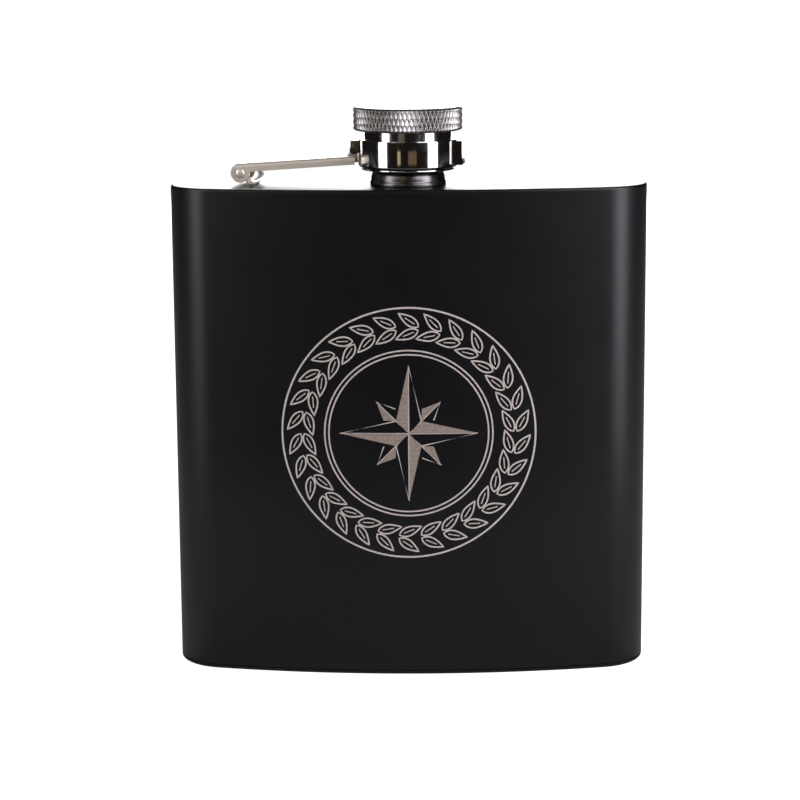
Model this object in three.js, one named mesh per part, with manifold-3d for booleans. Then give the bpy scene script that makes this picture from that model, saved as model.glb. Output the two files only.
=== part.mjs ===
// Hip flask with a captive screw cap, in millimetres, +Z up.
// The origin is under the middle of the flask at its base. The bulging front faces -Y.
// The cap sits in a collar on a hinged arm, so the unscrewed cap swings clear of the neck.

import * as THREE from "three";
import { mergeVertices } from "three/addons/utils/BufferGeometryUtils.js";
import Module from "manifold-3d";

const wasm = await Module();
wasm.setup();

// Body: a curved, flat-sided oval tube with a plate welded into each end.
const bodyWidth = 92;
const bodyHeight = 94.6;
const bodyThickness = 22.5;
const frontRadius = 175;
const cornerRadius = (bodyThickness * 4) / 9;
const wall = 0.6;
const topPlateThickness = 0.8;
const topEdgeRadius = 0.5;
const bottomEdgeRadius = 0.8;
const seam = 0.1;

// Neck: heights are above the top plate.
const headBottom = 10.5;
const neckBore = 5;
const spigotRadius = 5.75;
const spigotTop = headBottom + 0.1;
const threadHeight = 0.35;
const threadPitch = 1.5;
const neckRadius = 7.1;
const neckShoulder = 2.85;
const neckDepth = 1.6;

// Screw cap: a turned head on a sleeve whose flared foot keeps the collar on.
const headTop = 15;
const headBevel = 0.3;
const sleeveRadius = 8.35;
const sleeveBore = sleeveRadius - 0.85;
const headRadius = sleeveRadius + 2.1;
const lipRadius = sleeveRadius + 0.55;
const lipBottom = 2.95;
const lipHeight = 0.4;
const threadClearance = 1;
const sealThickness = 1;

// Collar with two ears.
const collarRadius = sleeveRadius + 1.15;
const collarTop = 8.8;
const collarChamfer = 0.35;
const earReach = collarRadius + 1.2;
const earWidth = 5.8;
const earTop = 8.6;
const tabBottom = 4;
const hingeEarBottom = 6.35;

// Hinge: two pins, a rolled bracket and a channel arm.
const bracketReach = 32.2;
const bracketPinHeight = 2.25;
const bracketPinRadius = 0.7;
const rivetHeadRadius = 0.9;
const rivetHeadHeight = 0.35;
const collarPinReach = collarRadius + 0.6;
const collarPinHeight = 6.7;
const collarPinRadius = 0.45;
const lugRadius = 0.75;
const eyeWall = 0.4;
const tongueWidth = 3.8;
const tongueThickness = 0.5;
const armWidth = 5.8;
const armSheet = 0.45;
const armHeight = 1.7;
const hoodRadius = 1.85;
const hoodEnd = 175;
const bracketSheet = 0.4;

// Clearances.
const runningGap = 0.1;
const sideGap = 0.15;
const swingGap = 0.28;

// Worked out from the sizes above.
const backRadius = frontRadius - bodyThickness;
const cornerX = bodyWidth / 2 - cornerRadius;
const bodyDepth = frontRadius + cornerRadius - Math.sqrt((backRadius + cornerRadius) ** 2 - cornerX ** 2);
const frontFace = -bodyDepth / 2;
const curveCentre = frontFace + frontRadius;
const neckY = frontFace + bodyThickness / 2;
const midRadius = frontRadius - bodyThickness / 2;
const armYaw = Math.asin(bracketReach / 2 / midRadius);
const armSpan = bracketReach - collarPinReach;
const armRise = collarPinHeight - lugRadius - swingGap - bracketPinHeight - hoodRadius;
const armTilt = Math.atan(armRise / armSpan);
const plateHole = neckRadius - 0.5;
const collarBore = sleeveRadius + 0.2;
const collarBottom = lipBottom + lipHeight + runningGap;
const capThreadCrest = spigotRadius + threadHeight + threadClearance;
const degrees = Math.PI / 180;

const polished = { color: 0xc9c4be, roughness: 0.16, metalness: 1 };
const blackCoat = new THREE.MeshStandardMaterial({ color: 0x141416, roughness: 0.55, metalness: 0.1 });
const neckSteel = new THREE.MeshStandardMaterial({ ...polished, color: 0xb4b0ac });
const capSteel = new THREE.MeshStandardMaterial({ ...polished, roughness: 0.28 });
const collarSteel = new THREE.MeshStandardMaterial({ ...polished, roughness: 0.1 });
const hingeSteel = new THREE.MeshStandardMaterial({ ...polished, color: 0xd2c4ae });
const sealPlastic = new THREE.MeshStandardMaterial({ color: 0xe9e7e0, roughness: 0.6, metalness: 0 });

// A closed geometry as a solid that can be joined and cut.
function solid(geometry) {
  const bare = geometry.clone();
  bare.deleteAttribute("normal");
  bare.deleteAttribute("uv");
  const merged = mergeVertices(bare, 1e-4);
  return new wasm.Manifold(
    new wasm.Mesh({
      numProp: 3,
      vertProperties: merged.attributes.position.array,
      triVerts: new Uint32Array(merged.index.array),
    }),
  );
}

function named(name, made, material) {
  const { numProp, numVert, vertProperties, triVerts } = made.getMesh();
  const positions = new Float32Array(numVert * 3);
  for (let i = 0; i < numVert; i++) {
    positions.set(vertProperties.subarray(i * numProp, i * numProp + 3), i * 3);
  }
  const indexed = new THREE.BufferGeometry();
  indexed.setAttribute("position", new THREE.BufferAttribute(positions, 3));
  indexed.setIndex(new THREE.BufferAttribute(triVerts, 1));
  const faceted = indexed.toNonIndexed();
  faceted.computeVertexNormals();
  const mesh = new THREE.Mesh(faceted, material);
  mesh.name = name;
  return mesh;
}

// Points of an arc about (x, y), from one angle to another in degrees, both ends included.
function arc(x, y, radius, from, to, steps) {
  return Array.from({ length: steps + 1 }, (_, i) => {
    const angle = (from + ((to - from) * i) / steps) * degrees;
    return new THREE.Vector2(x + radius * Math.cos(angle), y + radius * Math.sin(angle));
  });
}

// The body's plan outline, moved inwards by inset: convex front, hollow back, rounded corners.
function planOutline(inset) {
  const front = frontRadius - inset;
  const back = backRadius + inset;
  const round = cornerRadius - inset;
  const frontTurn = Math.asin(cornerX / (front - round));
  const backTurn = Math.asin(cornerX / (back + round));
  const frontCornerY = curveCentre - (front - round) * Math.cos(frontTurn);
  const backCornerY = curveCentre - (back + round) * Math.cos(backTurn);
  const frontEnd = frontTurn / degrees;
  const backEnd = backTurn / degrees;
  return [
    ...arc(0, curveCentre, front, -90 - frontEnd, -90 + frontEnd, 22),
    ...arc(cornerX, frontCornerY, round, -90 + frontEnd, 0, 7).slice(1),
    ...arc(cornerX, backCornerY, round, 0, 90 + backEnd, 7),
    ...arc(0, curveCentre, back, -90 + backEnd, -90 - backEnd, 22).slice(1),
    ...arc(-cornerX, backCornerY, round, 90 - backEnd, 180, 7).slice(1),
    ...arc(-cornerX, frontCornerY, round, 180, 270 - frontEnd, 7).slice(0, -1),
  ];
}

// A solid through plan outlines stacked upwards; each level is [inset, z].
function stacked(levels) {
  const rings = levels.map(([inset]) => planOutline(inset));
  const count = rings[0].length;
  const positions = rings.flatMap((ring, level) => ring.flatMap((p) => [p.x, p.y, levels[level][1]]));
  const index = [];
  for (let level = 0; level < rings.length - 1; level++) {
    for (let i = 0; i < count; i++) {
      const low = level * count + i;
      const lowNext = level * count + ((i + 1) % count);
      index.push(low, lowNext, lowNext + count, low, lowNext + count, low + count);
    }
  }
  const top = (rings.length - 1) * count;
  for (const [a, b, c] of THREE.ShapeUtils.triangulateShape(rings[0], [])) {
    index.push(a, c, b);
  }
  for (const [a, b, c] of THREE.ShapeUtils.triangulateShape(rings.at(-1), [])) {
    index.push(top + a, top + b, top + c);
  }
  const geometry = new THREE.BufferGeometry();
  geometry.setAttribute("position", new THREE.Float32BufferAttribute(positions, 3));
  geometry.setIndex(index);
  return solid(geometry);
}

// Levels of a quarter-round edge: its inset falls to nothing as it climbs, or the other way at a top edge.
function roundedEdge(radius, z, atTop) {
  const turns = atTop ? [0, 30, 60, 90] : [90, 60, 30, 0];
  const side = atTop ? 1 : -1;
  return turns.map((turn) => {
    const angle = turn * degrees;
    return [radius * (1 - Math.cos(angle)), z + side * radius * Math.sin(angle)];
  });
}

// A turned solid about +Z; the profile's [radius, z] points run up the outside and down the inside.
function turned(profile, segments = 48) {
  const points = profile.map(([radius, z]) => new THREE.Vector2(radius, z));
  if (profile[0][0] > 0) {
    points.push(points[0].clone());
  }
  return solid(new THREE.LatheGeometry(points, segments).rotateX(Math.PI / 2));
}

function rod(radius, y0, y1, x, z, segments = 24) {
  const cylinder = new THREE.CylinderGeometry(radius, radius, y1 - y0, segments);
  return solid(cylinder.translate(x, (y0 + y1) / 2, z));
}

function block(x0, x1, y0, y1, z0, z1) {
  const box = new THREE.BoxGeometry(x1 - x0, y1 - y0, z1 - z0);
  return solid(box.translate((x0 + x1) / 2, (y0 + y1) / 2, (z0 + z1) / 2));
}

// An outline of x and z points, run across the hinge from y0 to y1.
function slab(points, y0, y1) {
  const geometry = new THREE.ExtrudeGeometry(new THREE.Shape(points), { depth: y1 - y0, bevelEnabled: false });
  return solid(geometry.rotateX(Math.PI / 2).translate(0, y1, 0));
}

// The outline of a bent sheet of one thickness along a line of points.
function ribbon(line, thickness) {
  const sides = line.map((p, i) => {
    const before = line[Math.max(i - 1, 0)];
    const after = line[Math.min(i + 1, line.length - 1)];
    const along = after.clone().sub(before).normalize();
    const half = new THREE.Vector2(-along.y, along.x).multiplyScalar(thickness / 2);
    return [p.clone().add(half), p.clone().sub(half)];
  });
  return [...sides.map(([left]) => left), ...sides.map(([, right]) => right).reverse()];
}

// Rings that stand for a thread, from z0 to z1 on a wall of the given radius; out is 1 or -1.
function threadRings(radius, crest, z0, z1) {
  const turns = Math.floor((z1 - z0) / threadPitch);
  return Array.from({ length: turns }, (_, i) => {
    const z = z0 + i * threadPitch;
    return [
      [radius, z + threadPitch * 0.2],
      [crest, z + threadPitch * 0.45],
      [crest, z + threadPitch * 0.55],
      [radius, z + threadPitch * 0.8],
    ];
  }).flat();
}

// Body.
function bodyShell() {
  const z0 = bottomEdgeRadius + seam;
  const z1 = bodyHeight - topPlateThickness - seam / 2;
  const outside = stacked([[0, z0], [0, z1]]);
  const inside = stacked([[wall, z0 - 1], [wall, z1 + 1]]);
  return outside.subtract(inside);
}

function bottomPlate() {
  const outside = stacked(roundedEdge(bottomEdgeRadius, bottomEdgeRadius, false));
  const inside = stacked([[bottomEdgeRadius, wall], [wall, bottomEdgeRadius], [wall, bottomEdgeRadius + 1]]);
  return outside.subtract(inside);
}

function topPlate() {
  const z0 = bodyHeight - topPlateThickness;
  const edge = roundedEdge(topEdgeRadius, bodyHeight - topEdgeRadius, true);
  const hole = rod(plateHole + runningGap, -neckDepth, neckDepth, 0, 0, 48);
  return stacked([[0, z0], ...edge]).subtract(hole.rotate([90, 0, 0]).translate([0, neckY, bodyHeight]));
}

// Neck: its foot passes through the plate, and its shoulder rests on it.
function neck() {
  const foot = seam / 2;
  return turned([
    [plateHole, -neckDepth],
    [plateHole, foot],
    [neckRadius + 0.2, foot],
    [neckRadius + 0.2, 0.7],
    [neckRadius, 1],
    [neckRadius, neckShoulder - 1.5],
    [neckRadius - 0.12, neckShoulder - 0.75],
    [neckRadius - 0.3, neckShoulder - 0.3],
    [neckRadius - 0.6, neckShoulder],
    [spigotRadius, neckShoulder],
    ...threadRings(spigotRadius, spigotRadius + threadHeight, neckShoulder + 1.2, spigotTop - 0.4),
    [spigotRadius, spigotTop - 0.3],
    [spigotRadius - 0.25, spigotTop],
    [neckBore + 0.15, spigotTop],
    [neckBore, spigotTop - 0.15],
    [neckBore, -neckDepth],
  ]);
}

// Cap: the sleeve's top is pressed into the head, with the sealing disc clamped between them.
const sleeveTop = headBottom + 1.8;
const pressRadius = sleeveRadius - 0.35;
const sealBottom = spigotTop + sideGap;
const sealTop = sealBottom + sealThickness;

function capHead() {
  const recess = pressRadius + runningGap;
  const bossRadius = capThreadCrest - sideGap;
  return turned([
    [0, sealTop + runningGap],
    [bossRadius, sealTop + runningGap],
    [bossRadius, sleeveTop + runningGap],
    [recess, sleeveTop + runningGap],
    [recess, headBottom],
    [headRadius - headBevel, headBottom],
    [headRadius, headBottom + headBevel],
    [headRadius, headTop - headBevel],
    [headRadius - headBevel, headTop],
    [0, headTop],
  ], 64);
}

function capBarrel() {
  const mouthTop = lipBottom + 1.25;
  return turned([
    [lipRadius - 0.05, lipBottom],
    [lipRadius, lipBottom + 0.1],
    [lipRadius, lipBottom + lipHeight],
    [sleeveRadius, lipBottom + lipHeight],
    [sleeveRadius, headBottom - runningGap],
    [pressRadius, headBottom - runningGap],
    [pressRadius, sleeveTop],
    [capThreadCrest, sleeveTop],
    [capThreadCrest, spigotTop],
    [sleeveBore, spigotTop - 0.3],
    ...threadRings(sleeveBore, capThreadCrest, mouthTop + 0.4, spigotTop - 0.3).reverse(),
    [sleeveBore, mouthTop + 0.35],
    [capThreadCrest + 0.1, mouthTop],
    [sleeveBore + 0.1, lipBottom + 0.8],
    [sleeveBore + 0.6, lipBottom + 0.4],
  ]);
}

function capSeal() {
  const radius = capThreadCrest - sideGap;
  return turned([[0, sealBottom], [radius, sealBottom], [radius, sealTop], [0, sealTop]]);
}

// Collar: it turns freely on the sleeve between the head and the lip.
function collarRing() {
  const half = earWidth / 2;
  const inner = collarBore + 0.2;
  const ring = turned([
    [collarBore, collarBottom],
    [collarRadius - collarChamfer, collarBottom],
    [collarRadius, collarBottom + collarChamfer],
    [collarRadius, collarTop - 0.15],
    [collarRadius - 0.15, collarTop],
    [collarBore, collarTop],
  ]);
  const tab = block(inner, earReach, -half, half, tabBottom, earTop);
  const hingeEar = block(-earReach, -inner, -half, half, hingeEarBottom, earTop);
  const lug = rod(lugRadius, -half, half, -collarPinReach, collarPinHeight);
  const slot = tongueWidth / 2 + sideGap;
  const reach = collarPinRadius + runningGap + eyeWall + sideGap;
  const eyeRoom = rod(reach, -slot, slot, -collarPinReach, collarPinHeight, 32);
  const tongueRoom = block(
    -earReach - 1, -collarPinReach, -slot, slot, collarPinHeight - reach, collarPinHeight + reach,
  );
  const pinHole = rod(collarPinRadius + runningGap / 2, -half - 1, half + 1, -collarPinReach, collarPinHeight);
  return ring.add(tab).add(hingeEar).add(lug).subtract(eyeRoom).subtract(tongueRoom).subtract(pinHole);
}

// Hinge pieces, in a plane of x and z that runs from the neck out to the bracket.
function bracket() {
  const half = armWidth / 2 - armSheet - sideGap;
  const radius = bracketPinRadius + runningGap + bracketSheet / 2;
  const x = -bracketReach;
  const z = bracketPinHeight;
  const footZ = seam / 2 + bracketSheet / 2;
  const roll = arc(x, z, radius, 75, 270, 16);
  const tail = [
    new THREE.Vector2(x + 1.3, z + radius * 0.8),
    ...arc(x + 2.4, z - 0.15, 1.2, 60, -80, 7),
  ].reverse();
  const stem = [
    ...arc(x + 0.75, z - radius - 0.45, 0.45, 80, 0, 4),
    ...arc(x + 1.2 + 0.3, footZ + 0.3, 0.3, 180, 270, 4),
    new THREE.Vector2(x + 2.9, footZ),
  ];
  return slab(ribbon([...tail, ...roll, ...stem], bracketSheet), -half, half);
}

function rivet(radius, headRadius, headHeight, span) {
  const half = span / 2;
  const shaft = rod(radius, -half - headHeight / 2, half + headHeight / 2, 0, 0);
  const dome = (side) => {
    const profile = arc(0, 0, headRadius, 0, 90, 5).map((p) => [p.x, p.y * (headHeight / headRadius)]);
    profile[profile.length - 1][0] = 0;
    return turned([[0, 0], ...profile], 24).rotate([-90 * side, 0, 0]).translate([0, side * half, 0]);
  };
  return shaft.add(dome(1)).add(dome(-1));
}

// The arm's own frame: its origin is the bracket pin, and x runs along the arm.
function hingeArm() {
  const half = armWidth / 2;
  const inner = half - armSheet;
  const end = armSpan + 0.2;
  const under = hoodRadius - armHeight;
  const pin = new THREE.Vector2(armSpan, collarPinHeight - bracketPinHeight);
  pin.rotateAround(new THREE.Vector2(), -armTilt);
  const bar = slab([
    new THREE.Vector2(0, under),
    new THREE.Vector2(end, under),
    new THREE.Vector2(end, hoodRadius),
    new THREE.Vector2(0, hoodRadius),
  ], -half, half);
  const cheeks = rod(hoodRadius, -half, half, 0, 0, 40);
  const hollow = slab([
    new THREE.Vector2(0, -hoodRadius - 1),
    new THREE.Vector2(end + 1, -hoodRadius - 1),
    new THREE.Vector2(end + 1, hoodRadius - armSheet),
    new THREE.Vector2(0, hoodRadius - armSheet),
  ], -inner, inner);
  const hollowRoll = rod(hoodRadius - armSheet, -inner, inner, 0, 0, 40);
  const open = slab([
    new THREE.Vector2(0, 0),
    ...arc(0, 0, hoodRadius * 2, hoodEnd, 290, 8),
  ], -inner, inner);
  const webEnd = block(pin.x - 1.35, end + 1, -inner, inner, 0, hoodRadius + 1);
  const holder = bar.add(cheeks).subtract(hollow).subtract(hollowRoll).subtract(open).subtract(webEnd);
  const pinHole = rod(bracketPinRadius + runningGap, -half - 1, half + 1, 0, 0);

  const eyeBore = collarPinRadius + runningGap;
  const eye = rod(eyeBore + eyeWall, -tongueWidth / 2, tongueWidth / 2, pin.x, pin.y);
  const tongueLine = new THREE.CatmullRomCurve3([
    new THREE.Vector3(pin.x - 2.6, hoodRadius - tongueThickness / 2, 0),
    new THREE.Vector3(pin.x - 1.7, hoodRadius - tongueThickness / 2, 0),
    new THREE.Vector3(pin.x - 0.9, (hoodRadius + pin.y) / 2 - 0.2, 0),
    new THREE.Vector3(pin.x - 0.4, pin.y - 0.1, 0),
  ]);
  const line = tongueLine.getPoints(10).map((p) => new THREE.Vector2(p.x, p.y));
  const tongue = slab(ribbon(line, tongueThickness), -tongueWidth / 2, tongueWidth / 2);
  const eyeHole = rod(eyeBore, -half, half, pin.x, pin.y);
  return holder.subtract(pinHole).add(eye).add(tongue).subtract(eyeHole);
}

function placed(mesh, x, z) {
  mesh.position.set(x, 0, z);
  return mesh;
}

const flask = new THREE.Group();
flask.add(named("body_shell", bodyShell(), blackCoat));
flask.add(named("bottom_plate", bottomPlate(), blackCoat));
flask.add(named("top_plate", topPlate(), blackCoat));

// Everything on the top plate stands about the neck's axis, turned so that -X meets the bracket.
const mouth = new THREE.Group();
mouth.position.set(0, neckY, bodyHeight);
mouth.rotation.z = -armYaw;
flask.add(mouth);
mouth.add(named("neck", neck(), neckSteel));
mouth.add(named("hinge_bracket", bracket(), hingeSteel));
const bracketRivet = rivet(bracketPinRadius, rivetHeadRadius, rivetHeadHeight, armWidth + 2 * runningGap);
mouth.add(placed(named("bracket_pin", bracketRivet, hingeSteel), -bracketReach, bracketPinHeight));
const arm = placed(named("hinge_arm", hingeArm(), hingeSteel), -bracketReach, bracketPinHeight);
arm.rotation.y = -armTilt;
mouth.add(arm);
mouth.add(named("collar_ring", collarRing(), collarSteel));
const collarPin = rod(collarPinRadius, -earWidth / 2, earWidth / 2, 0, 0);
mouth.add(placed(named("collar_pin", collarPin, collarSteel), -collarPinReach, collarPinHeight));
mouth.add(named("cap_head", capHead(), capSteel));
mouth.add(named("cap_barrel", capBarrel(), capSteel));
mouth.add(named("cap_seal", capSeal(), sealPlastic));

export default flask;
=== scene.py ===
import math

import bmesh
import bpy
from mathutils import Matrix, Vector


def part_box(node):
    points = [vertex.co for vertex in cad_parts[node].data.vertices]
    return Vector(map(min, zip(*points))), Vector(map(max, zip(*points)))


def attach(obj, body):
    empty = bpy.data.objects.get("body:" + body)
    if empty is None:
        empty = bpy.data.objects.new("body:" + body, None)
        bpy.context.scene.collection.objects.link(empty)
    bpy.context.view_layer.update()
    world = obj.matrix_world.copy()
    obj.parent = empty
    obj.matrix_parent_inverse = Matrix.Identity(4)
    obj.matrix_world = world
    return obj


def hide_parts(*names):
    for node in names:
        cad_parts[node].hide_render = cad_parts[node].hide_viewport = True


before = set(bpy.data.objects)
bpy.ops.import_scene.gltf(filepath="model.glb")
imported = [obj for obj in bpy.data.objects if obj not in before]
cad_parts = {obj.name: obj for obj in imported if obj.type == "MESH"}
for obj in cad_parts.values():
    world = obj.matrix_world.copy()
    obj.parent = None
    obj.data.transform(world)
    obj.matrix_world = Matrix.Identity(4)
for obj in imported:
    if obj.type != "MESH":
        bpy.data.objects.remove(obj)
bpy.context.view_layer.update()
mm = 0.001


# Camera: a long lens a little above the flask's middle, looking square at the bulging front.
front_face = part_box("body_shell")[0].y
camera_aim = Vector((0, front_face, 55 * mm))
camera_distance = 0.450
camera_turn = math.radians(1.08)
camera_rise = math.radians(10.8)
camera_roll = math.radians(0.38)

camera = bpy.data.objects.new("camera", bpy.data.cameras.new("camera"))
bpy.context.scene.collection.objects.link(camera)
bpy.context.scene.camera = camera
camera.data.sensor_width = 36
camera.data.lens = 106.25
camera.data.shift_x = -0.0106
camera.data.shift_y = -0.0029
camera.data.clip_start = 0.01
backwards = Vector((
    math.sin(camera_turn) * math.cos(camera_rise),
    -math.cos(camera_turn) * math.cos(camera_rise),
    math.sin(camera_rise),
))
level = backwards.to_track_quat("Z", "Y").to_matrix().to_4x4()
camera.matrix_world = (
    Matrix.Translation(camera_aim + backwards * camera_distance)
    @ level
    @ Matrix.Rotation(-camera_roll, 4, "Z")
)


# Body: a stainless steel strip wrapped into a curved oval tube and butt-welded, then coated matte black.
# Its front bulges and its back is hollow, on one centre, so that it lies against the hip.
front_radius = 175 * mm
thickness = 22.5 * mm
corner_radius = 10 * mm
wall = 0.6 * mm
half_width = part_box("body_shell")[1].x
shell_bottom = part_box("body_shell")[0].z
shell_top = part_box("body_shell")[1].z
coat = 0.02 * mm
curve_centre = front_face + front_radius


def arc(x, y, radius, start, end, steps):
    """Points of an arc about (x, y), from one angle to another in degrees."""
    turns = [math.radians(start + (end - start) * i / steps) for i in range(steps + 1)]
    return [(x + radius * math.cos(t), y + radius * math.sin(t)) for t in turns]


def plan(inset):
    """The body's outline from above, moved inwards by inset."""
    front = front_radius - inset
    back = front_radius - thickness + inset
    bend = corner_radius - inset
    corner_x = half_width - corner_radius
    front_turn = math.asin(corner_x / (front - bend))
    back_turn = math.asin(corner_x / (back + bend))
    front_y = curve_centre - (front - bend) * math.cos(front_turn)
    back_y = curve_centre - (back + bend) * math.cos(back_turn)
    f, b = math.degrees(front_turn), math.degrees(back_turn)
    return (
        arc(0, curve_centre, front, -90 - f, -90 + f, 72)
        + arc(corner_x, front_y, bend, -90 + f, 0, 20)[1:]
        + arc(corner_x, back_y, bend, 0, 90 + b, 20)
        + arc(0, curve_centre, back, -90 + b, -90 - b, 72)[1:]
        + arc(-corner_x, back_y, bend, 90 - b, 180, 20)[1:]
        + arc(-corner_x, front_y, bend, 180, 270 - f, 20)[:-1]
    )


def rings_to_mesh(bm, rings, close=False):
    """Faces between rings of as many vertices each; close joins the last ring to the first."""
    pairs = list(zip(rings, rings[1:])) + ([(rings[-1], rings[0])] if close else [])
    for low, high in pairs:
        for i in range(len(low)):
            j = (i + 1) % len(low)
            bm.faces.new((low[i], low[j], high[j], high[i]))


def stacked(levels, close=False):
    """A mesh through the body's outline at each [inset, z] level, capped at both ends unless it closes."""
    bm = bmesh.new()
    rings = [[bm.verts.new((x, y, z)) for x, y in plan(inset)] for inset, z in levels]
    rings_to_mesh(bm, rings, close)
    if not close:
        bm.faces.new(rings[0][::-1])
        bm.faces.new(rings[-1])
    return bm


def softened(points, radius, closed=True, steps=4):
    """A profile with its corners rounded."""
    made = []
    for i, point in enumerate(points):
        corner = Vector(point)
        if not closed and i in (0, len(points) - 1):
            made.append(tuple(corner))
            continue
        before = Vector(points[i - 1]) - corner
        after = Vector(points[(i + 1) % len(points)]) - corner
        cut = min(radius, before.length * 0.45, after.length * 0.45)
        start = corner + before.normalized() * cut
        end = corner + after.normalized() * cut
        for k in range(steps + 1):
            t = k / steps
            made.append(tuple(start * (1 - t) ** 2 + corner * 2 * t * (1 - t) + end * t * t))
    return made


def piece(name, made, material, sharp=32):
    """An object from a bmesh or a mesh, smooth except at its sharp edges."""
    mesh = made
    if isinstance(made, bmesh.types.BMesh):
        bmesh.ops.remove_doubles(made, verts=made.verts, dist=0.00002 * mm)
        bmesh.ops.recalc_face_normals(made, faces=made.faces)
        mesh = bpy.data.meshes.new(name)
        made.to_mesh(mesh)
        made.free()
    mesh.name = name
    mesh.materials.clear()
    mesh.materials.append(material)
    mesh.shade_smooth()
    mesh.set_sharp_from_angle(angle=math.radians(sharp))
    found = bpy.data.objects.new(name, mesh)
    bpy.context.scene.collection.objects.link(found)
    return found


class Nodes:
    """A node tree that is filled one node at a time."""

    def __init__(self, tree):
        self.tree = tree

    def add(self, kind, inputs=(), **settings):
        node = self.tree.nodes.new(kind)
        for key, value in settings.items():
            setattr(node, key, value)
        for key, value in dict(inputs).items():
            if isinstance(value, bpy.types.NodeSocket):
                self.tree.links.new(value, node.inputs[key])
            else:
                node.inputs[key].default_value = value
        return node

    def math(self, operation, a, b=0.0, c=0.0):
        kind = "ShaderNodeMath"
        return self.add(kind, {0: a, 1: b, 2: c}, operation=operation).outputs[0]


def shader(name, colour, roughness, metallic, **sockets):
    """A material with plain sockets set on its shader, and its nodes, shader and Object coordinates."""
    material = bpy.data.materials.new(name)
    material.use_nodes = True
    nodes = Nodes(material.node_tree)
    principled = material.node_tree.nodes["Principled BSDF"]
    principled.inputs["Base Color"].default_value = (*colour, 1)
    principled.inputs["Roughness"].default_value = roughness
    principled.inputs["Metallic"].default_value = metallic
    for socket, value in sockets.items():
        principled.inputs[socket.replace("_", " ")].default_value = value
    place = nodes.add("ShaderNodeTexCoord").outputs["Object"]
    return material, nodes, principled, place


def black_powder_coat():
    """Sprayed matte black: a fine pebbled skin, a touch uneven in gloss."""
    material, nodes, principled, place = shader("black_powder_coat", (0.004, 0.004, 0.0045), 0.38, 0.0)
    principled.inputs["Specular IOR Level"].default_value = 0.5
    clouds = nodes.add("ShaderNodeTexNoise", {"Vector": place, "Scale": 45, "Detail": 4, "Roughness": 0.6})
    pebbles = nodes.add("ShaderNodeTexNoise", {"Vector": place, "Scale": 5200, "Detail": 2, "Roughness": 0.5})
    gloss = nodes.add("ShaderNodeMapRange", {
        "Value": clouds.outputs["Fac"],
        "From Min": 0.35, "From Max": 0.65, "To Min": 0.345, "To Max": 0.385,
    })
    tone = nodes.add("ShaderNodeValToRGB", {"Fac": pebbles.outputs["Fac"]})
    tone.color_ramp.elements[0].position = 0.3
    tone.color_ramp.elements[0].color = (0.0013, 0.0013, 0.0019, 1)
    tone.color_ramp.elements[1].position = 0.75
    tone.color_ramp.elements[1].color = (0.0036, 0.0035, 0.0050, 1)
    bump = nodes.add("ShaderNodeBump", {
        "Height": pebbles.outputs["Fac"], "Strength": 0.16, "Distance": 0.02 * mm,
    })
    links = nodes.tree.links
    links.new(tone.outputs["Color"], principled.inputs["Base Color"])
    links.new(gloss.outputs["Result"], principled.inputs["Roughness"])
    links.new(bump.outputs["Normal"], principled.inputs["Normal"])
    return material


coat_black = black_powder_coat()
lip = 0.12 * mm
body = piece("body", stacked([
    (coat + lip, shell_bottom),
    (coat + 0.3 * lip, shell_bottom + 0.25 * lip),
    (coat, shell_bottom + lip),
    (coat, (shell_bottom + shell_top) / 2),
    (coat, shell_top + 0.02 * mm),
    (wall, shell_top + 0.02 * mm),
    (wall, shell_bottom),
], close=True), coat_black)
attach(body, "flask")
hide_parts("body_shell")


# Bottom plate: a shallow pressed pan, welded in from below; the weld is ground into a fine crease.
# A flange inside the shell backs the crease. The same coat covers it.
pan_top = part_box("bottom_plate")[1].z
pan_round = pan_top
pan_edge = [
    (coat + pan_round * (1 - math.cos(math.radians(t))), pan_round * (1 - math.sin(math.radians(t))))
    for t in (90, 80, 70, 60, 50, 40, 30, 20, 10, 0)
]
flange_top = shell_bottom + 1.6 * mm
bottom = piece("bottom", stacked([
    *pan_edge,
    (coat + lip, pan_top),
    (wall + 0.02 * mm, pan_top),
    (wall + 0.02 * mm, flange_top),
    (2 * wall, flange_top),
    (2 * wall, wall),
]), coat_black)
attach(bottom, "flask")
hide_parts("bottom_plate")


# Top plate: a flat plate with a rounded rim, let into the tube and welded, with a hole for the neck.
# It is coated with the body, and its rounded rim catches the light.
mouth_low, mouth_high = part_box("neck")
mouth_x = (mouth_low.x + mouth_high.x) / 2
mouth_y = (mouth_low.y + mouth_high.y) / 2
plate_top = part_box("top_plate")[1].z
plate_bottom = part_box("top_plate")[0].z
plate_round = 0.5 * mm
plate_hole = 6.7 * mm


def top_plate():
    turns = [math.radians(t) for t in range(0, 91, 10)]
    levels = [(coat, plate_bottom - 0.02 * mm)]
    levels += [
        (coat + plate_round * (1 - math.cos(t)), plate_top - plate_round * (1 - math.sin(t)))
        for t in turns
    ]
    bm = bmesh.new()
    rims = [[bm.verts.new((x, y, z)) for x, y in plan(inset)] for inset, z in levels]
    rings_to_mesh(bm, rims)
    around = len(rims[0])
    angles = [math.atan2(v.co.y - mouth_y, v.co.x - mouth_x) for v in rims[0]]
    hole = [
        [
            bm.verts.new((mouth_x + plate_hole * math.cos(a), mouth_y + plate_hole * math.sin(a), z))
            for a in angles
        ]
        for z in (plate_bottom - 0.02 * mm, plate_top)
    ]
    for i in range(around):
        j = (i + 1) % around
        bm.faces.new((rims[-1][i], rims[-1][j], hole[1][j], hole[1][i]))
        bm.faces.new((rims[0][j], rims[0][i], hole[0][i], hole[0][j]))
        bm.faces.new((hole[0][i], hole[0][j], hole[1][j], hole[1][i]))
    return bm


top = piece("top", top_plate(), coat_black)
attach(top, "flask")
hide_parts("top_plate")


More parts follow.
